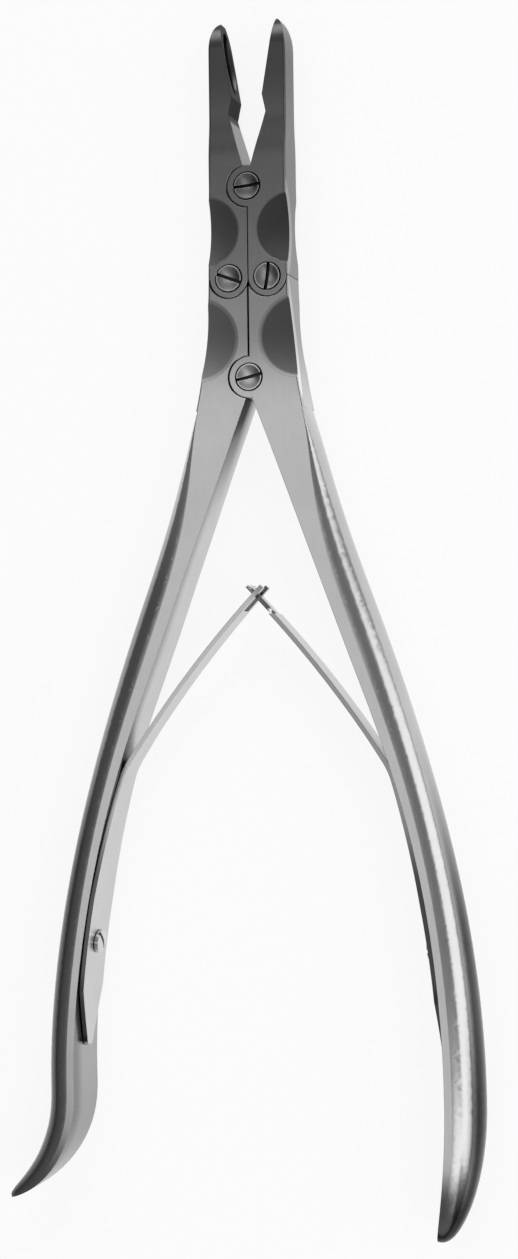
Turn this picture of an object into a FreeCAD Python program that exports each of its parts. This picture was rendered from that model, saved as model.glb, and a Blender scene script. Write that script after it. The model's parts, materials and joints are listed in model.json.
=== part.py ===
"""Double-action bone rongeur, modelled fully open, as it rests.

Frame, in millimetres: +Y runs from the handle pivot to the jaws, +X to the right handle, and +Z along
the pivots towards the screw heads. The origin is on the handle pivot's axis, in the flat back face.
"""
import FreeCAD
import Part
import math
import os

Vector = FreeCAD.Vector
Z_AXIS = Vector(0, 0, 1)

# Joint: four pieces halved into each other, and four pivots in a kite
JOINT_T = 7.5            # full thickness of the joint, two half laps
PIVOT_PITCH = 35.6       # handle pivot to jaw pivot
LINK_X = 3.73            # link pivots, beside the seam
LINK_Y = 18.56           # link pivots, above the handle pivot
LAP_R = 3.9              # lap discs round the handle and jaw pivots
LAP_GAP = 0.04           # between the two faces of a lap
DISC_CLEARANCE = 0.06    # round a lap disc, in its recess
SEAM_GAP = 0.05          # between the left and right pieces, the stop when open
PARTING_GAP = 0.12       # between a jaw's tail and its handle, beside the link
HORN_DROP = 1.65         # what is cut from a horn at the seam, so that the link can turn
LINK_HALF_W = 7.78       # half width of the instrument at the links
WAIST = 0.62             # how far the arms curve in below the links
EDGE_R = 0.45            # rounding of the long outer edges
EDGE_BREAK = 0.15        # on the edges that meet at a seam, a lap or a screw

# Hollow-ground scoops on both faces, which leave an X between the screws
UPPER_SCOOP = {"x": 8.3, "y": 27.4, "r": 6.7, "depth": 1.85}
LOWER_SCOOP = {"x": 9.8, "y": 7.3, "r": 7.8, "depth": 1.3}

# Jaws
JAW_HALF_W = 7.5         # outer side of a jaw
JAW_T = 6.1              # thickness of a jaw above the joint
SHOULDER_Y = 40.5        # where a jaw starts to thin
SHOULDER_LENGTH = 9.0
SHOULDER_EASE = 4.0      # how softly it does so
RIM_ANGLE = 9.7          # slope of the bite rims when open, and so the turn that closes them
RIM_START = 17.3         # jaw pivot to the lower end of the rim
RIM_END = 31.8           # jaw pivot to the tip
BITE_GAP = 0.06          # left between the rims when closed
RELIEF_START = 1.2       # above the jaw pivot
RELIEF_ANGLE = 16.0
NOTCH_Y = 49.4
TIP_SHOULDER_Y = 60.2    # where the outer side turns in to the tip
TIP_TAPER_Y = 62.0       # where the faces turn in to the tip
TIP_TAPER_LENGTH = 5.4
CUP_CENTRE = 24.3        # jaw pivot to the middle of the cup
CUP_LENGTH = 12.8
CUP_R = 2.55
CUP_AXIS_OUT = 0.6       # how far the cup's axis stands out of the face that bites

# Handles: a flat inner face along a straight, then a long arc, with a convex back
CROTCH_Y = -2.4          # where the lines of the inner faces meet
SPREAD = 20.7            # half angle between the inner faces at the joint
STRAIGHT = 64.0
GRIP_RADIUS = 199.0
GRIP_W = 6.4             # thickness of the grip, seen from the front
GRIP_D = 12.2            # depth of the grip, along the pivots
GRIP_FLAT = 1.4          # front and back of the grip, before its convex back
NECK = 7.0               # along the inner face, where the flat arm becomes the grip
# along the inner face, thickness, depth, and the flat on the front and back
NECK_STATIONS = (
    (NECK, 8.6, JOINT_T, 8.1),
    (NECK + 10, 8.2, 7.6, 5.9),
    (NECK + 20, 7.5, 8.2, 3.7),
    (NECK + 33, 7.1, 8.9, 2.4),
    (NECK + 53, 6.7, 9.4, 2.0),
    (NECK + 76, 6.0, 9.9, 1.6),
    (NECK + 98, 6.1, 11.0, GRIP_FLAT),
)
GRIP_END = 137.4         # where the ends begin
FULL_BEFORE_END = 3.0    # the grip's full section stands this far before them
END_SHARES = (0.15, 0.35, 0.55, 0.75, 0.88, 0.96, 1.0)
# each end: its length, its point's share of the full section, how blunt it is, and its turn
PLAIN_END = {"length": 24.0, "point": 0.1, "fullness": 0.5, "turn_radius": -115.0}
FLARED_END = {"length": 27.4, "point": 0.16, "fullness": 0.8, "turn_radius": 21.6}

# Screws
SHANK_R = 1.5
HEAD_R = 2.43
HEAD_T = 1.15
HEAD_DISH = 0.28         # hollow of a joint screw's head
HEAD_RIM = 0.22          # flat left round it
HEAD_PROUD = 0.12        # rim of the head above the face
SEAT_CLEARANCE = 0.12    # round the head
RUNNING_CLEARANCE = 0.05  # round the shank in the piece that turns on it
SLOT_W = 0.62
SLOT_DEPTH = 0.75
SLOT_TURN = {
    "handle_pivot": 12.0,
    "jaw_pivot": 5.0,
    "left_link": -22.0,
    "right_link": 82.0,
    "left_spring": 50.0,
    "right_spring": 0.0,
}

# Leaf springs
LEAF_T = 0.85
LEAF_W = 10.0
LEAF_GAP = 0.1           # between the leaf and the handle's inner face
LEAF_FOOT = 128.5        # along the inner face, the leaf's lower tip
LEAF_FOOT_TAPER = 11.0
LEAF_FOOT_R = 1.6
LEAF_BEND = 77.0         # along the inner face, where the leaf bends away
LEAF_BEND_R = 14.0
LEAF_BOW_R = 210.0       # the free length bows towards the jaws
LEAF_TAPER_Y = -97.0     # above this the leaf gets narrower
LEAF_FREE_Y = -66.0      # above this it stays about as narrow
LEAF_FREE_W = 5.4
LEAF_END_W = 4.6
APEX_Y = -40.3           # where the leaves cross
LEAF_PAST_APEX = 2.1
FORK_SLOT_W = 2.7
FORK_SLOT_DEPTH = 3.0
NECK_W = 2.1
NECK_LENGTH = 3.6        # below the crossing
HEAD_START = 1.3         # above the crossing
SPRING_SCREW_AT = 108.5  # along the inner face
SPRING_SHANK_R = 1.2
SPRING_HEAD_R = 2.15
SPRING_HEAD_T = 0.75
SPRING_HEAD_DOME = 0.32
SPRING_SHANK_LENGTH = 4.6

MID = JOINT_T / 2
PAST = 1.0               # how far a cut runs past a face


def polar(angle):
    """A direction, in degrees from +Y towards +X."""
    return Vector(math.sin(math.radians(angle)), math.cos(math.radians(angle)), 0)


def line(start, end):
    return Part.LineSegment(start, end).toShape()


def arc(start, middle, end):
    return Part.Arc(start, middle, end).toShape()


def prism(edges, direction):
    return Part.Face(Part.Wire(Part.__sortEdges__(edges))).extrude(direction)


def block(x0, x1, y0, y1, z0, z1):
    return Part.makeBox(x1 - x0, y1 - y0, z1 - z0, Vector(x0, y0, z0))


def disc(x, y, radius, z0, z1):
    return Part.makeCylinder(radius, z1 - z0, Vector(x, y, z0), Z_AXIS)


def mirrored(shape):
    return shape.mirror(Vector(0, 0, 0), Vector(1, 0, 0))


def broken_disc(x, y, radius, inner_z, face_z):
    """A disc that reaches from inside the joint to one of its faces, where its edge is broken."""
    side = math.copysign(1, face_z - inner_z)
    turn_z = face_z - side * EDGE_BREAK
    rim = Part.makeCone(radius, radius - EDGE_BREAK, EDGE_BREAK, Vector(x, y, turn_z), Z_AXIS * side)
    return disc(x, y, radius, min(inner_z, turn_z), max(inner_z, turn_z)).fuse(rim)


def pocket(x, y, radius, inner_z, face_z):
    """What to cut for a round recess that opens at one of the joint's faces, with a broken edge."""
    side = math.copysign(1, face_z - inner_z)
    past_z = face_z + side * PAST
    mouth = EDGE_BREAK + PAST
    turn_z = face_z - side * EDGE_BREAK
    rim = Part.makeCone(radius, radius + mouth, mouth, Vector(x, y, turn_z), Z_AXIS * side)
    return disc(x, y, radius, min(inner_z, past_z), max(inner_z, past_z)).fuse(rim)


def lap_half(body, x, y, radius, in_front):
    """Gives the body its half of a lap: a disc in its own layer, and a recess for the other one."""
    side, own_face, other_face = (1, JOINT_T, 0) if in_front else (-1, 0, JOINT_T)
    inner_z = MID + side * LAP_GAP / 2
    own = broken_disc(x, y, radius, inner_z, own_face)
    return body.cut(pocket(x, y, radius + DISC_CLEARANCE, inner_z, other_face)).fuse(own)


def screw_hole(body, x, y, in_front):
    """A clearance hole and a seat for the head in front, a close hole behind."""
    if in_front:
        seat_z = JOINT_T + HEAD_PROUD - HEAD_T
        body = body.cut(pocket(x, y, HEAD_R + SEAT_CLEARANCE, seat_z, JOINT_T))
        return body.cut(disc(x, y, SHANK_R + RUNNING_CLEARANCE, -PAST, JOINT_T))
    return body.cut(disc(x, y, SHANK_R, -PAST, JOINT_T + PAST))


def scooped(body, scoop):
    """Hollows both faces with a sphere whose edge on the face is the scoop's circle."""
    ball = ball_of(scoop["r"], scoop["depth"])
    rise = ball - scoop["depth"]
    for z in (JOINT_T + rise, -rise):
        body = body.cut(Part.makeSphere(ball, Vector(scoop["x"], scoop["y"], z)))
    return body


def round_outer_edges(body, low_y, high_y, least_x):
    """Rounds the front and back edges of the outer side, from low_y to high_y."""
    edges = []
    for edge in body.Edges:
        middle = edge.valueAt((edge.FirstParameter + edge.LastParameter) / 2)
        if middle.x > least_x and low_y < middle.y < high_y and abs(middle.z - MID) > EDGE_R:
            edges.append(edge)
    return body.makeFillet(EDGE_R, edges)


def break_seam(body):
    """Breaks the front and back edges of the face that meets the other side at the seam."""
    edges = []
    for edge in body.Edges:
        middle = edge.valueAt((edge.FirstParameter + edge.LastParameter) / 2)
        if middle.x < SEAM_GAP and abs(middle.z - MID) > EDGE_R:
            edges.append(edge)
    return body.makeChamfer(EDGE_BREAK, edges)


def inner_face(s):
    """The place and slope of the right handle's inner face, s along it from the crotch."""
    start = Vector(SEAM_GAP / 2, CROTCH_Y, 0)
    knee = start + heading(SPREAD) * STRAIGHT
    if s <= STRAIGHT:
        return start + heading(SPREAD) * s, SPREAD
    centre = knee - outward(SPREAD) * GRIP_RADIUS
    slope = SPREAD - math.degrees((s - STRAIGHT) / GRIP_RADIUS)
    return centre + outward(slope) * GRIP_RADIUS, slope


def handle_face(s, end):
    """As inner_face, but past the grip it turns outwards or inwards, as its end does."""
    if s <= GRIP_END:
        return inner_face(s)
    knee, slope = inner_face(GRIP_END)
    radius = end["turn_radius"]
    turned = slope + math.degrees((s - GRIP_END) / radius)
    return knee + (outward(slope) - outward(turned)) * radius, turned


def heading(slope):
    """Down the handle, at a slope in degrees from -Y towards +X."""
    return Vector(math.sin(math.radians(slope)), -math.cos(math.radians(slope)), 0)


def outward(slope):
    return Vector(math.cos(math.radians(slope)), math.sin(math.radians(slope)), 0)


def grip_section(place, slope, thickness, depth, flat):
    """A D: flat inside, a short flat in front and behind, and a convex back."""
    away = outward(slope)
    half = Z_AXIS * (depth / 2)
    corner = place + Z_AXIS * MID
    crown = away * ((thickness - flat) * 4 / 3)
    front = corner + away * flat + half
    back = corner + away * flat - half
    bow = Part.BezierCurve()
    bow.setPoles([front, front + crown, back + crown, back])
    edges = [
        line(corner - half, corner + half),
        line(corner + half, front),
        bow.toShape(),
        line(back, corner - half),
    ]
    return Part.Wire(edges)


def grip(end):
    """The handle below its neck, ending in a rounded taper."""
    sections = [grip_section(*inner_face(s), w, d, f) for s, w, d, f in NECK_STATIONS]
    sections.append(grip_section(*inner_face(GRIP_END - FULL_BEFORE_END), GRIP_W, GRIP_D, GRIP_FLAT))
    for share in END_SHARES:
        size = end["point"] + (1 - end["point"]) * (1 - share ** 2) ** end["fullness"]
        place, slope = handle_face(GRIP_END + share * end["length"], end)
        sections.append(grip_section(place, slope, GRIP_W * size, GRIP_D * size, GRIP_FLAT * size))
    return Part.makeLoft(sections, True, False, False, 5)


def spring_screw_bore(radius, start, end):
    """A cylinder on the spring screw's axis, between two distances off the handle's inner face."""
    place, slope = inner_face(SPRING_SCREW_AT)
    away = outward(slope)
    return Part.makeCylinder(radius, end - start, place + Z_AXIS * MID + away * start, away)


def arm():
    """The flat arm of the right handle, from its neck to the link, before its laps."""
    neck, slope = inner_face(NECK)
    outer = neck + outward(slope) * NECK_STATIONS[0][1]
    top = LINK_Y - PARTING_GAP / 2
    shoulder = Vector(LINK_HALF_W, top, 0)
    waist = Vector((LINK_HALF_W + outer.x) / 2 - WAIST, (top + outer.y) / 2, 0)
    corners = [
        shoulder,
        Vector(SEAM_GAP / 2, top, 0),
        Vector(SEAM_GAP / 2, CROTCH_Y, 0),
        neck,
        outer,
    ]
    edges = [line(a, b) for a, b in zip(corners, corners[1:])]
    edges.append(arc(outer, waist, shoulder))
    return prism(edges, Z_AXIS * JOINT_T)


def handle(end, pivot_in_front):
    """A handle as the right one stands. The left one is its mirror image, with the laps swapped."""
    body = break_seam(round_outer_edges(arm(), CROTCH_Y, LINK_Y - EDGE_R, LINK_HALF_W - EDGE_R))
    body = lap_half(body, 0, 0, LAP_R, pivot_in_front)
    body = scooped(body, LOWER_SCOOP)
    body = lap_half(body, LINK_X, LINK_Y, LINK_X - SEAM_GAP / 2, False)
    horn = block(-PAST, LINK_X, LINK_Y - HORN_DROP, LINK_Y + PAST, MID - LAP_GAP / 2, JOINT_T + PAST)
    body = body.cut(horn)
    body = screw_hole(body, 0, 0, pivot_in_front)
    body = screw_hole(body, LINK_X, LINK_Y, False)
    body = body.fuse(grip(end)).removeSplitter()
    return body.cut(spring_screw_bore(SPRING_SHANK_R, -PAST, SPRING_SHANK_LENGTH))


def rim_place(along, aside):
    """A place in the face that bites: along it from the jaw pivot, and off its line when closed."""
    rim = polar(RIM_ANGLE)
    return Vector(0, PIVOT_PITCH, 0) + rim * along + Vector(rim.y, -rim.x, 0) * aside


def jaw_outline():
    """The right jaw from the front, from its link to its tip, before its nose is rounded."""
    bottom = LINK_Y + PARTING_GAP / 2
    seam = SEAM_GAP / 2
    relief = Vector(seam, PIVOT_PITCH + RELIEF_START, 0)
    notch_x = seam + (NOTCH_Y - relief.y) * math.tan(math.radians(RELIEF_ANGLE))
    tip = rim_place(RIM_END, BITE_GAP / 2)
    corners = [
        Vector(JAW_HALF_W, tip.y, 0),
        Vector(JAW_HALF_W, PIVOT_PITCH, 0),
        Vector(LINK_HALF_W, bottom, 0),
        Vector(seam, bottom, 0),
        relief,
        Vector(notch_x, NOTCH_Y, 0),
        rim_place(RIM_START, BITE_GAP / 2),
        tip,
    ]
    return [line(a, b) for a, b in zip(corners, corners[1:] + corners[:1])]


def outside_nose():
    """What lies outside the round of the jaw's nose, a quarter of an ellipse."""
    tip = rim_place(RIM_END, BITE_GAP / 2)
    shoulder = Vector(JAW_HALF_W, TIP_SHOULDER_Y, 0)
    past = JAW_HALF_W + PAST
    nose = Part.Ellipse(tip, shoulder, Vector(tip.x, TIP_SHOULDER_Y, 0))
    beyond = tip + Vector(0, PAST, 0)
    corners = [shoulder, Vector(past, TIP_SHOULDER_Y, 0), Vector(past, beyond.y, 0), beyond, tip]
    edges = [line(a, b) for a, b in zip(corners, corners[1:])]
    edges.append(Part.ArcOfEllipse(nose, 0, math.pi / 2).toShape())
    return prism(edges, Z_AXIS * JOINT_T)


def jaw_side():
    """The jaws from the side: full at the joint, thinner above it, and rounded at the tip."""
    half_joint, half_jaw = JOINT_T / 2, JAW_T / 2
    thin_y = SHOULDER_Y + SHOULDER_LENGTH
    edges = []
    for side in (1, -1):
        outer = MID + side * half_joint
        inner = MID + side * half_jaw
        base = Vector(0, LINK_Y - LAP_R - PAST, outer)
        turn = Part.BezierCurve()
        turn.setPoles([
            Vector(0, SHOULDER_Y, outer),
            Vector(0, SHOULDER_Y + SHOULDER_EASE, outer),
            Vector(0, thin_y - SHOULDER_EASE, inner),
            Vector(0, thin_y, inner),
        ])
        edges.append(line(base, Vector(0, SHOULDER_Y, outer)))
        edges.append(turn.toShape())
        edges.append(line(Vector(0, thin_y, inner), Vector(0, TIP_TAPER_Y, inner)))
    centre = Vector(0, TIP_TAPER_Y, MID)
    tip = Part.Ellipse(centre + Vector(0, TIP_TAPER_LENGTH, 0), centre + Vector(0, 0, half_jaw), centre)
    edges.append(Part.ArcOfEllipse(tip, -math.pi / 2, math.pi / 2).toShape())
    edges.append(line(Vector(0, LINK_Y - LAP_R - PAST, 0), Vector(0, LINK_Y - LAP_R - PAST, JOINT_T)))
    shift = Vector(-PAST, 0, 0)
    side_prism = prism(edges, Vector(LINK_HALF_W + 2 * PAST, 0, 0))
    side_prism.translate(shift)
    return side_prism


def cup():
    """The hollow of a jaw, a spheroid sunk into the face that bites."""
    along = polar(RIM_ANGLE)
    aside = Vector(along.y, -along.x, 0)
    outline = Part.Ellipse(along * (CUP_LENGTH / 2), aside * CUP_R, Vector(0, 0, 0))
    half = Part.ArcOfEllipse(outline, 0, math.pi).toShape()
    axis = line(along * (-CUP_LENGTH / 2), along * (CUP_LENGTH / 2))
    hollow = Part.Face(Part.Wire([half, axis])).revolve(Vector(0, 0, 0), along, 360)
    hollow.translate(rim_place(CUP_CENTRE, -CUP_AXIS_OUT) + Z_AXIS * MID)
    return hollow


def jaw(pivot_in_front):
    """A jaw as the right one stands."""
    body = prism(jaw_outline(), Z_AXIS * JOINT_T).common(jaw_side())
    body = break_seam(round_outer_edges(body, LINK_Y + EDGE_R, PIVOT_PITCH + RIM_END, JAW_HALF_W - EDGE_R))
    body = body.cut(outside_nose())
    body = lap_half(body, 0, PIVOT_PITCH, LAP_R, pivot_in_front)
    body = scooped(body, UPPER_SCOOP)
    body = lap_half(body, LINK_X, LINK_Y, LINK_X - SEAM_GAP / 2, True)
    horn = block(-PAST, LINK_X, LINK_Y - PAST, LINK_Y + HORN_DROP, -PAST, MID + LAP_GAP / 2)
    body = body.cut(horn)
    body = screw_hole(body, 0, PIVOT_PITCH, pivot_in_front)
    body = screw_hole(body, LINK_X, LINK_Y, True)
    return body.cut(cup()).removeSplitter()


def slotted(head, radius, top, turn):
    """Cuts a slot across a head, down from its top."""
    slot = block(-radius - PAST, radius + PAST, -SLOT_W / 2, SLOT_W / 2, top - SLOT_DEPTH, top + PAST)
    slot.rotate(Vector(0, 0, 0), Z_AXIS, turn)
    return head.cut(slot)


def ball_of(radius, rise):
    """The radius of a ball whose cap has this radius and this rise."""
    return (radius ** 2 + rise ** 2) / (2 * rise)


def joint_screw(x, y, turn):
    """Its hollow head seats in the front piece, and its shank ends flush with the back."""
    under_z = JOINT_T + HEAD_PROUD - HEAD_T + LAP_GAP
    top_z = JOINT_T + HEAD_PROUD
    ball = ball_of(HEAD_R - HEAD_RIM, HEAD_DISH)
    head = disc(0, 0, HEAD_R, under_z, top_z)
    head = head.cut(Part.makeSphere(ball, Vector(0, 0, top_z + ball - HEAD_DISH)))
    screw = slotted(head, HEAD_R, top_z, turn).fuse(disc(0, 0, SHANK_R, 0, under_z + LAP_GAP))
    screw.translate(Vector(x, y, 0))
    return screw.removeSplitter()


def leaf_middle(s):
    """The middle of the leaf's thickness where it lies along the handle, and its slope."""
    place, slope = inner_face(s)
    return place - outward(slope) * (LEAF_GAP + LEAF_T / 2), slope


def slope_of(direction):
    """The slope of a face whose outward normal is this direction."""
    return math.degrees(math.atan2(direction.y, direction.x))


def turn_arc(centre, radius, first, last):
    """An arc whose outward normal turns from the first slope to the last."""
    places = [centre + outward(a) * radius for a in (first, (first + last) / 2, last)]
    return arc(*places)


def leaf_path():
    """Up the handle from the foot, round a bend, and in a long bow past the apex."""
    foot, _ = leaf_middle(LEAF_FOOT)
    halfway, _ = leaf_middle((LEAF_FOOT + LEAF_BEND) / 2)
    start, slope = leaf_middle(LEAF_BEND)
    apex = Vector(0, APEX_Y, 0)
    bend_centre = start - outward(slope) * LEAF_BEND_R
    reach = apex - bend_centre
    inner_r = LEAF_BOW_R - LEAF_BEND_R
    along = (inner_r ** 2 - LEAF_BOW_R ** 2 + reach.Length ** 2) / (2 * reach.Length)
    across = math.sqrt(inner_r ** 2 - along ** 2)
    unit = reach / reach.Length
    bow_centre = bend_centre + unit * along + Vector(-unit.y, unit.x, 0) * across
    bow_slope = slope_of(bend_centre - bow_centre)
    tip_slope = slope_of(apex - bow_centre) + math.degrees(LEAF_PAST_APEX / LEAF_BOW_R)
    edges = [
        arc(foot, halfway, start),
        turn_arc(bend_centre, LEAF_BEND_R, slope, bow_slope),
        turn_arc(bow_centre, LEAF_BOW_R, bow_slope, tip_slope),
    ]
    return Part.Wire(edges), foot


def leaf_blank():
    """The leaf at its full width, before its outline is cut."""
    path, foot = leaf_path()
    _, slope = leaf_middle(LEAF_FOOT)
    away = outward(slope) * (LEAF_T / 2)
    half = Z_AXIS * (LEAF_W / 2)
    centre = foot + Z_AXIS * MID
    corners = [centre + away + half, centre + away - half, centre - away - half, centre - away + half]
    edges = [line(a, b) for a, b in zip(corners, corners[1:] + corners[:1])]
    spine = path.copy()
    spine.translate(Z_AXIS * MID)
    return spine.makePipeShell([Part.Wire(edges)], True, False)


def leaf_outline():
    """The leaf from the side: a rounded foot, full width at the screw, and a taper to the end."""
    foot, _ = leaf_middle(LEAF_FOOT)
    full, end = LEAF_W / 2, LEAF_END_W / 2
    side = [
        Vector(0, foot.y + LEAF_FOOT_R, LEAF_FOOT_R),
        Vector(0, foot.y + LEAF_FOOT_TAPER, full),
        Vector(0, LEAF_TAPER_Y, full),
        Vector(0, LEAF_FREE_Y, LEAF_FREE_W / 2),
        Vector(0, APEX_Y, end),
        Vector(0, APEX_Y + LEAF_PAST_APEX + PAST, end),
    ]
    edges = []
    for sign in (1, -1):
        row = [Vector(0, p.y, MID + sign * p.z) for p in side]
        edges += [line(a, b) for a, b in zip(row, row[1:])]
    edges.append(line(Vector(0, side[-1].y, MID + end), Vector(0, side[-1].y, MID - end)))
    edges.append(arc(Vector(0, foot.y + LEAF_FOOT_R, MID + LEAF_FOOT_R), Vector(0, foot.y, MID),
                     Vector(0, foot.y + LEAF_FOOT_R, MID - LEAF_FOOT_R)))
    outline = prism(edges, Vector(2 * GRIP_RADIUS, 0, 0))
    outline.translate(Vector(-GRIP_RADIUS, 0, 0))
    return outline


def leaf():
    """A leaf spring beside the right handle, with its screw hole, before its end is shaped."""
    hole = spring_screw_bore(SPRING_SHANK_R + RUNNING_CLEARANCE, -3 * LEAF_T, LEAF_T)
    return leaf_blank().common(leaf_outline()).cut(hole)


def forked_leaf():
    """The left spring's end is a fork that the other one's neck passes through."""
    half = FORK_SLOT_W / 2
    slot = block(-LEAF_W, LEAF_W, APEX_Y - FORK_SLOT_DEPTH, APEX_Y + LEAF_PAST_APEX + PAST,
                 MID - half, MID + half)
    return leaf().cut(slot)


def hooked_leaf():
    """The right spring's end is a neck with a cross head behind the fork."""
    body = leaf()
    for z0, z1 in ((MID + NECK_W / 2, MID + LEAF_W), (MID - LEAF_W, MID - NECK_W / 2)):
        body = body.cut(block(-LEAF_W, LEAF_W, APEX_Y - NECK_LENGTH, APEX_Y + HEAD_START, z0, z1))
    return body


def spring_screw(turn):
    """Holds a leaf to the right handle's inner face."""
    place, slope = inner_face(SPRING_SCREW_AT)
    lift = 2 * LEAF_GAP + LEAF_T
    top = SPRING_HEAD_T + SPRING_HEAD_DOME
    ball = ball_of(SPRING_HEAD_R, SPRING_HEAD_DOME)
    head = disc(0, 0, SPRING_HEAD_R, 0, top).common(Part.makeSphere(ball, Vector(0, 0, top - ball)))
    head = slotted(head, SPRING_HEAD_R, top, turn)
    shank = disc(0, 0, SPRING_SHANK_R, -SPRING_SHANK_LENGTH, LAP_GAP)
    screw = head.fuse(shank).removeSplitter()
    screw.rotate(Vector(0, 0, 0), Vector(0, 1, 0), -90)
    screw.rotate(Vector(0, 0, 0), Z_AXIS, slope)
    screw.translate(place + Z_AXIS * MID - outward(slope) * lift)
    return screw


def build():
    return {
        "right_handle": handle(PLAIN_END, True),
        "left_handle": mirrored(handle(FLARED_END, False)),
        "right_jaw": jaw(True),
        "left_jaw": mirrored(jaw(False)),
        "handle_pivot_screw": joint_screw(0, 0, SLOT_TURN["handle_pivot"]),
        "jaw_pivot_screw": joint_screw(0, PIVOT_PITCH, SLOT_TURN["jaw_pivot"]),
        "left_link_screw": joint_screw(-LINK_X, LINK_Y, SLOT_TURN["left_link"]),
        "right_link_screw": joint_screw(LINK_X, LINK_Y, SLOT_TURN["right_link"]),
        "right_spring": hooked_leaf(),
        "left_spring": mirrored(forked_leaf()),
        "right_spring_screw": spring_screw(SLOT_TURN["right_spring"]),
        "left_spring_screw": mirrored(spring_screw(SLOT_TURN["left_spring"])),
    }


os.makedirs("parts", exist_ok=True)
for name, shape in build().items():
    shape.exportStep("parts/" + name + ".step")
    print(name, "solids", len(shape.Solids), "valid", shape.isValid(), "volume", round(shape.Volume, 1))
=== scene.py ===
"""The looks of the bone rongeur: ground steel, leaf springs with close cross cuts, studio light and the
camera.

The part's own frame has +Y to the jaws, +X to the right handle and +Z to the screw heads. Lengths are in
metres where nothing else is said. The instrument lies on the floor with its screw heads up, and the camera
looks down on it.
"""
import json
import math

import bmesh
import bpy
from mathutils import Matrix, Vector


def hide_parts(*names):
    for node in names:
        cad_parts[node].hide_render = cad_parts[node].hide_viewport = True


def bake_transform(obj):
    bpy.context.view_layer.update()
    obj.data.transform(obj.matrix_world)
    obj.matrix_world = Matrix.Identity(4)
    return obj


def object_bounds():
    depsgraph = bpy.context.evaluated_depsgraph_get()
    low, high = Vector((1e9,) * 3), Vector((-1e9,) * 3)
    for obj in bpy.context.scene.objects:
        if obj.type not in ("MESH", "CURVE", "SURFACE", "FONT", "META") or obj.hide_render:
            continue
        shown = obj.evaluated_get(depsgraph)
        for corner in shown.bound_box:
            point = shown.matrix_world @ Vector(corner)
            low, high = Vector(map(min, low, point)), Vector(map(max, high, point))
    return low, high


MM = 0.001
MID_Z = 3.75             # mm, the middle of the joint's thickness

# Camera, found from the places of the four screws and the outline in the photograph. Angles are in degrees
YAW = 17.213
PITCH = 1.201
ROLL = 0.705
DISTANCE = 396.6 * MM
TARGET = Vector((0.21, -46.76, MID_Z)) * MM
SENSOR = 36.0            # mm
FOCAL_SHARE = 1.6898     # focal length over the picture's long side
CLIP_NEAR = 0.01
CLIP_FAR = 20.0

# Leaf springs: how many cross cuts each leaf gets, and how its mesh is merged, flattened and shaded
LEAF_CUTS = 48
MERGE_REACH = 0.001 * MM  # corners closer than this become one
FLAT_ANGLE = 0.3         # degrees, faces that differ by less become one before the cuts
SHARP_ANGLE = 35         # degrees, edges over it stay sharp

# Steels: grey level, roughness, the grinding's pitch across and along in mm, and how strong its lines are
STEELS = {
    "handle_steel": {"grey": 0.56, "rough": 0.22, "grain": (0.35, 9.0), "lines": 0.05},
    "jaw_steel": {"grey": 0.5, "rough": 0.3, "grain": (0.3, 3.0), "lines": 0.06},
    "screw_steel": {"grey": 0.66, "rough": 0.26, "grain": (0.2, 0.9), "lines": 0.04},
    "spring_steel": {"grey": 0.6, "rough": 0.28, "grain": (0.25, 12.0), "lines": 0.04},
}
GREY_SPREAD = 0.07       # share by which clouds make the grey lighter and darker
ROUGH_SPREAD = 4         # share by which lines of strength 1 make the steel duller and glossier
DRAWN_LINES = {"Scale": 1.0, "Detail": 5.0, "Roughness": 0.6}
CLOUDS = {"Scale": 1 / (7 * MM), "Detail": 3.0, "Roughness": 0.55}
LINE_DEPTH = 0.1 * MM    # of lines of strength 1
LINE_STRENGTH = 0.25     # of the bump that they make
EDGE_R = 0.14 * MM       # softness of the edges that the light catches
CREVICE_REACH = 0.6 * MM
NEARBY_SAMPLES = 6       # rays that look for edges and crevices
HALF_WAY = 0.7           # about the cosine of 45 degrees

# Hollow-ground scoops, in mm: the middle of each, its radius on the face and its depth. They are duller than
# the faces round them, and painted shade makes them darker, from SCOOP_EDGE off their surface on.
SCOOPS = (
    {"x": 8.3, "y": 27.4, "r": 6.7, "depth": 1.85},
    {"x": 9.8, "y": 7.3, "r": 7.8, "depth": 1.3},
)
SCOOP_EDGE = (0.04, 0.02)
SCOOP_ROUGH = 0.62

# Inner sides that are darker than DIM's tones don't shine where they are seen at a low angle
DIM = (0.12, 0.04)
DIM_TINT = 0.6
TURNED_IN = (0.0, -0.3)

# Patches: the share that each leaves of the steel's tone, then the conditions that hold in it. Most of them
# are painted shade and painted light. A condition is a measure, its value where the condition doesn't hold
# and its value where it fully does. Places are in mm, and measures_of tells what the measures are.
LEFT = ("x", 1, -1)
RIGHT = ("x", -1, 1)
AT_JOINT = ("across", 9.8, 9.4)
CREVICE = ("open", 0.78, 0.4)
IN_SCOOP = ("off_scoop", *SCOOP_EDGE)
BESIDE_SCOOP = ("off_scoop", 1.9, 1.4)
UNDER_FACE = ("level", 3.74, 3.5)
INNER_SIDE = ("outward", -0.3, -0.6)
NOT_OUTER = ("outward", 0.1, -0.1)
FACING_UP = ("up", 0.8, 0.9)
# Painted shade in crevices, across the joint and from y = -35 mm on towards the handles' ends
CREVICE_SHADE = (
    (0.12, CREVICE, AT_JOINT),
    (0.12, CREVICE, ("y", -30, -35)),
)
DARKER_TO_JAWS = (
    # Three steps, then painted shade in the scoops with painted light that makes them lighter on the left,
    # and a painted highlight as a light streak on the side next to them
    (0.48, ("y", -6, 10)),
    (0.6, ("y", 8, 40)),
    (0.6, ("y", 44, 58)),
    (0.34, IN_SCOOP, UNDER_FACE),
    (1.8, IN_SCOOP, UNDER_FACE, LEFT),
    (1.9, BESIDE_SCOOP, ("outward", 0.7, 0.9), ("z", 3.4, 4.0)),
)
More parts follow.
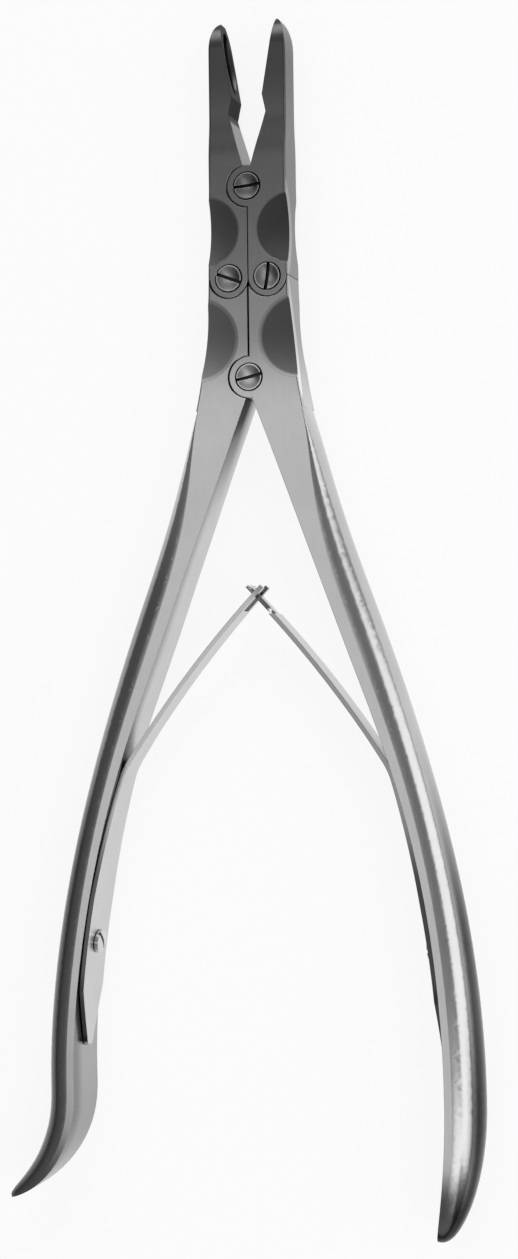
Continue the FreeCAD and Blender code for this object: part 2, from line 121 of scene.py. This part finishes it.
PATCHES = {
    "handle_steel": DARKER_TO_JAWS + (
        # Painted shade on the convex backs, on the left and on the right
        (0.5, LEFT, ("outward", 0.02, 0.16), ("y", -12, -45)),
        (0.32, LEFT, ("outward", 0.2, 0.6), ("y", -58, -95)),
        (0.12, RIGHT, ("outward", 0.7, 0.92), ("y", -62, -104)),
        (0.4, RIGHT, ("outward", 0.5, 0.8), ("y", -112, -136)),
        # Painted shade at the plain end, on the inner sides towards their front and at the flared end, and a
        # painted shadow at the crotch
        (0.08, RIGHT, ("y", -143, -153)),
        (0.55, INNER_SIDE, ("z", 4.5, 8.5)),
        (0.66, LEFT, NOT_OUTER, ("y", -106, -128)),
        (0.6, LEFT, NOT_OUTER, ("y", -128, -150)),
        (0.05, INNER_SIDE, ("z", 0.0, 4.8), ("y", -29, -5)),
    ) + CREVICE_SHADE,
    "jaw_steel": DARKER_TO_JAWS + (
        # Painted light on the relief above the jaw pivot, then painted shade on rim and cup
        (1.4, INNER_SIDE, ("y", 36, 39)),
        (0.07, INNER_SIDE, ("y", 47.4, 48.6)),
    ) + CREVICE_SHADE,
    "screw_steel": (
        # Darker to the jaws, then painted shade on one half of each hollow head and in the slots of the
        # joint's screws
        (0.36, ("y", -19, 42)),
        (0.35, ("askew", 0.0, 0.14), FACING_UP),
        (0.08, ("z", 7.36, 7.3), ("z", 3, 4), AT_JOINT),
    ) + CREVICE_SHADE,
    "spring_steel": (
        # Painted shade on the ends, the sides of the fork and the neck, then on edges: along the handles, at
        # the foot and on the right
        (0.3, ("endways", 0.86, 0.94)),
        (0.4, ("z", 1.9, 2.3), ("z", 5.6, 5.2), ("up_or_down", 0.8, 0.9)),
        (0.22, FACING_UP, ("y", -78, -94)),
        (0.5, FACING_UP, ("y", -110, -114)),
        (0.6, FACING_UP, RIGHT),
    ) + CREVICE_SHADE,
}

# Lamps: strips between two places, with their width and their power in watts. The key lamp stands along
# the right side, the low one across the handles, the top one along the left, the last two beyond the ends.
LAMPS = {
    "key": {"ends": ((0.59, -0.52, 0.40), (0.62, 0.30, 0.34)), "width": 0.6, "power": 2.05},
    "low": {"ends": ((0.02, -0.44, 0.82), (0.46, -0.44, 0.66)), "width": 0.4, "power": 0.75},
    "top": {"ends": ((-0.27, -0.62, 0.9), (-0.27, 0.38, 0.9)), "width": 0.4, "power": 0.86},
    "far": {"ends": ((-0.5, 0.85, 0.55), (0.5, 0.85, 0.55)), "width": 0.5, "power": 5.0},
    "near": {"ends": ((-0.5, -1.0, 0.55), (0.5, -1.0, 0.55)), "width": 0.5, "power": 2.6},
}
LAMP_AIM = Vector((0.0, -0.045, 0.0))   # the place that they face
WORLD_GREY = 0.2

# Floor of plain white paper
FLOOR_SIZE = 20.0
FLOOR_DROP = 0.02 * MM   # below the instrument
FLOOR_GREY = 0.9
FLOOR_ROUGH = 0.9
FLOOR_SHINE = 0.2
FLOOR_GLOW = 0.88        # share of plain white that the camera, mirrors and glass see in it

# Sockets of a Mix node that mixes colours, which have the same names as its sockets for other data
MIX_FACTOR = 0
MIX_FIRST = 6
MIX_SECOND = 7
MIX_RESULT = 2


def place_in_scene(name, data, axes, place):
    """An object in the scene, with its X, Y and Z axes and its place."""
    thing = bpy.data.objects.new(name, data)
    turn = Matrix(axes).transposed().to_4x4()
    thing.matrix_world = Matrix.Translation(place) @ turn
    bpy.context.scene.collection.objects.link(thing)
    return thing


def make_camera():
    """A camera that sees the part as the photograph does."""
    yaw, pitch, roll = (math.radians(angle) for angle in (YAW, PITCH, ROLL))
    back = Vector((math.sin(yaw) * math.cos(pitch), -math.sin(pitch), math.cos(yaw) * math.cos(pitch)))
    level = Vector((math.cos(yaw), 0, -math.sin(yaw)))
    rise = back.cross(level)
    right = level * math.cos(roll) - rise * math.sin(roll)
    up = level * math.sin(roll) + rise * math.cos(roll)
    data = bpy.data.cameras.new("camera")
    data.sensor_width = SENSOR
    data.lens = SENSOR * FOCAL_SHARE
    data.clip_start = CLIP_NEAR
    data.clip_end = CLIP_FAR
    camera = place_in_scene("camera", data, (right, up, back), TARGET + back * DISTANCE)
    bpy.context.scene.camera = camera


def make_lamp(name, ends, width, power):
    """A soft strip lamp that lies between its two ends and faces the instrument."""
    start, end = (Vector(place) for place in ends)
    middle = (start + end) / 2
    along = (end - start).normalized()
    back = middle - LAMP_AIM
    back = (back - along * back.dot(along)).normalized()
    data = bpy.data.lights.new(name, "AREA")
    data.shape = "RECTANGLE"
    data.size = width
    data.size_y = (end - start).length
    data.energy = power
    place_in_scene(name, data, (along.cross(back), along, back), middle)


def grey_colour(level):
    return (level, level, level, 1)


def make_world():
    world = bpy.data.worlds.new("studio")
    world.use_nodes = True
    background = world.node_tree.nodes["Background"]
    background.inputs["Color"].default_value = grey_colour(WORLD_GREY)
    background.inputs["Strength"].default_value = 1.0
    bpy.context.scene.world = world


def new_material(name):
    material = bpy.data.materials.new(name)
    material.use_nodes = True
    tree = material.node_tree
    return material, tree, tree.nodes["Principled BSDF"]


def set_inputs(tree, node, inputs):
    """Give each input its value, or link it where the value is another node's output."""
    for key, value in inputs.items():
        if isinstance(value, bpy.types.NodeSocket):
            tree.links.new(value, node.inputs[key])
        else:
            node.inputs[key].default_value = value


def add_node(tree, kind, inputs=None, **settings):
    node = tree.nodes.new(kind)
    for key, value in settings.items():
        setattr(node, key, value)
    set_inputs(tree, node, inputs or {})
    return node


def maths(tree, operation, *values):
    return add_node(tree, "ShaderNodeMath", dict(enumerate(values)), operation=operation).outputs[0]


def spread(tree, share, low, high):
    """From low where the share is 0 to high where it is 1."""
    node = add_node(tree, "ShaderNodeMapRange", {"Value": share, "To Min": low, "To Max": high})
    return node.outputs["Result"]


def smooth_step(tree, value, off, full):
    """0 where the value is off and 1 where it is full, with a smooth step between."""
    inputs = {"Value": value, "From Min": off, "From Max": full}
    node = add_node(tree, "ShaderNodeMapRange", inputs, interpolation_type="SMOOTHSTEP")
    return node.outputs["Result"]


def off_scoops(tree, across, y, level):
    """How far, in mm, from the nearest ball whose surface is a scoop."""
    folded = add_node(tree, "ShaderNodeCombineXYZ", {"X": across, "Y": y, "Z": level}).outputs["Vector"]
    gaps = []
    for scoop in SCOOPS:
        ball_r = (scoop["r"] ** 2 + scoop["depth"] ** 2) / (2 * scoop["depth"])
        centre = (scoop["x"], scoop["y"], MID_Z + ball_r - scoop["depth"])
        away = add_node(tree, "ShaderNodeVectorMath", {0: folded, 1: centre}, operation="DISTANCE")
        gaps.append(maths(tree, "ABSOLUTE", maths(tree, "SUBTRACT", away.outputs["Value"], ball_r)))
    return maths(tree, "MINIMUM", *gaps)


def measures_of(tree, place):
    """What the patches go by.

    Places, in mm: x, y and z, and how far from the middle line (across), from the middle of the joint's
    thickness (level) and from a scoop's surface (off_scoop).
    Looks, 1 for a surface that looks straight that way: away from the middle line (outward, -1 to it), to +Z
    (up), along Z either way (up_or_down), along Y either way (endways), and between -X and -Y (askew).
    Light: 0 deep in a crevice and 1 away from any (open).
    """
    spot = add_node(tree, "ShaderNodeSeparateXYZ", {"Vector": place.outputs["Object"]})
    x, y, z = (maths(tree, "MULTIPLY", spot.outputs[axis], 1 / MM) for axis in "XYZ")
    look = add_node(tree, "ShaderNodeSeparateXYZ", {"Vector": place.outputs["Normal"]})
    look_x, look_y, look_z = (look.outputs[axis] for axis in "XYZ")
    across = maths(tree, "ABSOLUTE", x)
    level = maths(tree, "ABSOLUTE", maths(tree, "SUBTRACT", z, MID_Z))
    reach = {"Distance": CREVICE_REACH}
    crevice = add_node(tree, "ShaderNodeAmbientOcclusion", reach, samples=NEARBY_SAMPLES)
    return {
        "x": x,
        "y": y,
        "z": z,
        "across": across,
        "level": level,
        "outward": maths(tree, "MULTIPLY", look_x, maths(tree, "SIGN", x)),
        "up": look_z,
        "up_or_down": maths(tree, "ABSOLUTE", look_z),
        "endways": maths(tree, "ABSOLUTE", look_y),
        "askew": maths(tree, "MULTIPLY", maths(tree, "ADD", look_x, look_y), -HALF_WAY),
        "open": crevice.outputs["AO"],
        "off_scoop": off_scoops(tree, across, y, level),
    }


def mask_of(tree, measures, conditions):
    """1 where all the conditions hold."""
    mask = None
    for name, off, full in conditions:
        part = smooth_step(tree, measures[name], off, full)
        mask = part if mask is None else maths(tree, "MULTIPLY", mask, part)
    return mask


def mixed(tree, blend_type, factor, first, second):
    """The first colour, blended with the second one by the factor."""
    inputs = {MIX_FACTOR: factor, MIX_FIRST: first, MIX_SECOND: second}
    node = add_node(tree, "ShaderNodeMix", inputs, data_type="RGBA", blend_type=blend_type)
    return node.outputs[MIX_RESULT]


def steel(name, grey, rough, grain, lines):
    """Steel ground lengthwise: fine drawn lines, cloudy polish, softened edges, and the patches' tones, most
    of them painted shade and painted light.
    """
    material, tree, shader = new_material(name)
    place = add_node(tree, "ShaderNodeTexCoord")
    across, along = (1 / (size * MM) for size in grain)
    stretched = {"Vector": place.outputs["Object"], "Scale": (across, along, across)}
    stretch = add_node(tree, "ShaderNodeMapping", stretched)
    drawn = add_node(tree, "ShaderNodeTexNoise", {"Vector": stretch.outputs["Vector"], **DRAWN_LINES})
    cloud = add_node(tree, "ShaderNodeTexNoise", {"Vector": place.outputs["Object"], **CLOUDS})
    measures = measures_of(tree, place)

    dark, light = (grey_colour(grey * share) for share in (1 - GREY_SPREAD, 1 + GREY_SPREAD))
    tone = mixed(tree, "MIX", cloud.outputs["Fac"], dark, light)
    for share, *conditions in PATCHES[name]:
        tone = mixed(tree, "MULTIPLY", mask_of(tree, measures, conditions), tone, grey_colour(share))
    inward = smooth_step(tree, measures["outward"], *TURNED_IN)
    dim = maths(tree, "MULTIPLY", smooth_step(tree, tone, *DIM), inward)

    swing = ROUGH_SPREAD * lines
    polish = spread(tree, drawn.outputs["Fac"], rough * (1 - swing), rough * (1 + swing))
    scooped = smooth_step(tree, measures["off_scoop"], *SCOOP_EDGE)
    dull = maths(tree, "MULTIPLY", scooped, SCOOP_ROUGH - rough)

    edge = add_node(tree, "ShaderNodeBevel", {"Radius": EDGE_R}, samples=NEARBY_SAMPLES)
    bump = add_node(tree, "ShaderNodeBump", {
        "Strength": LINE_STRENGTH,
        "Distance": lines * LINE_DEPTH,
        "Height": drawn.outputs["Fac"],
        "Normal": edge.outputs["Normal"],
    })
    set_inputs(tree, shader, {
        "Metallic": 1.0,
        "Base Color": tone,
        "Specular Tint": spread(tree, dim, 1.0, DIM_TINT),
        "Roughness": maths(tree, "ADD", polish, dull),
        "Normal": bump.outputs["Normal"],
    })
    return material


def dress(node, material):
    node.data.materials.clear()
    node.data.materials.append(material)


def bending_leaf(name, node, material):
    """A leaf with cross cuts close enough to bend, which stands for its CAD node."""
    mesh = node.data.copy()
    mesh.name = name
    shape = bmesh.new()
    shape.from_mesh(mesh)
    bmesh.ops.remove_doubles(shape, verts=shape.verts, dist=MERGE_REACH)
    low = min(v.co.y for v in shape.verts)
    high = max(v.co.y for v in shape.verts)
    flat = math.radians(FLAT_ANGLE)
    bmesh.ops.dissolve_limit(shape, angle_limit=flat, verts=shape.verts, edges=shape.edges)
    for i in range(1, LEAF_CUTS):
        place = Vector((0, low + (high - low) * i / LEAF_CUTS, 0))
        everything = shape.verts[:] + shape.edges[:] + shape.faces[:]
        bmesh.ops.bisect_plane(shape, geom=everything, plane_co=place, plane_no=(0, 1, 0))
    shape.to_mesh(mesh)
    shape.free()
    mesh.shade_smooth()
    mesh.set_sharp_from_angle(angle=math.radians(SHARP_ANGLE))
    leaf = bpy.data.objects.new(name, mesh)
    bpy.context.scene.collection.objects.link(leaf)
    dress(leaf, material)
    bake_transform(leaf)
    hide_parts(node.name)


def floor_paper():
    """White paper. The camera, mirrors and glass see mostly plain white in it, and its shadows faintly."""
    material, tree, shader = new_material("floor_paper")
    set_inputs(tree, shader, {
        "Base Color": grey_colour(FLOOR_GREY),
        "Roughness": FLOOR_ROUGH,
        "Specular IOR Level": FLOOR_SHINE,
    })
    ray = add_node(tree, "ShaderNodeLightPath")
    seen = maths(tree, "MAXIMUM", ray.outputs["Is Camera Ray"], ray.outputs["Is Glossy Ray"])
    seen = maths(tree, "MAXIMUM", seen, ray.outputs["Is Transmission Ray"])
    glow = add_node(tree, "ShaderNodeEmission")
    mix = add_node(tree, "ShaderNodeMixShader", {
        0: maths(tree, "MULTIPLY", seen, FLOOR_GLOW),
        1: shader.outputs["BSDF"],
        2: glow.outputs["Emission"],
    })
    set_inputs(tree, tree.nodes["Material Output"], {"Surface": mix.outputs["Shader"]})
    return material


def make_floor(height):
    half = FLOOR_SIZE / 2
    corners = [(-half, -half, 0), (half, -half, 0), (half, half, 0), (-half, half, 0)]
    mesh = bpy.data.meshes.new("floor")
    mesh.from_pydata(corners, [], [(0, 1, 2, 3)])
    floor = bpy.data.objects.new("floor", mesh)
    floor.location.z = height
    bpy.context.scene.collection.objects.link(floor)
    dress(floor, floor_paper())


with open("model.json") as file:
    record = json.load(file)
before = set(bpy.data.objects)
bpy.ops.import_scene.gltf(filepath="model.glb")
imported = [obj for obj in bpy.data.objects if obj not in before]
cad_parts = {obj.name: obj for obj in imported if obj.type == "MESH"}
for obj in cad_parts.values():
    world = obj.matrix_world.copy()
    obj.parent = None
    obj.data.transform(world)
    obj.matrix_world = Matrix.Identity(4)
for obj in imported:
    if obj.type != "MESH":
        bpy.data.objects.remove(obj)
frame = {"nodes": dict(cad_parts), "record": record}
cad_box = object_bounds()
nodes = frame["nodes"]
steels = {name: steel(name, **values) for name, values in STEELS.items()}
for entry in frame["record"]["subparts"]:
    dress(nodes[entry["node"]], steels[entry["material_slot"]])
bending_leaf("left_leaf", nodes["left_spring"], steels["spring_steel"])
bending_leaf("right_leaf", nodes["right_spring"], steels["spring_steel"])

make_floor(cad_box[0].z - FLOOR_DROP)
make_camera()
make_world()
for name, values in LAMPS.items():
    make_lamp(name, **values)
bpy.context.scene.view_settings.view_transform = "Standard"
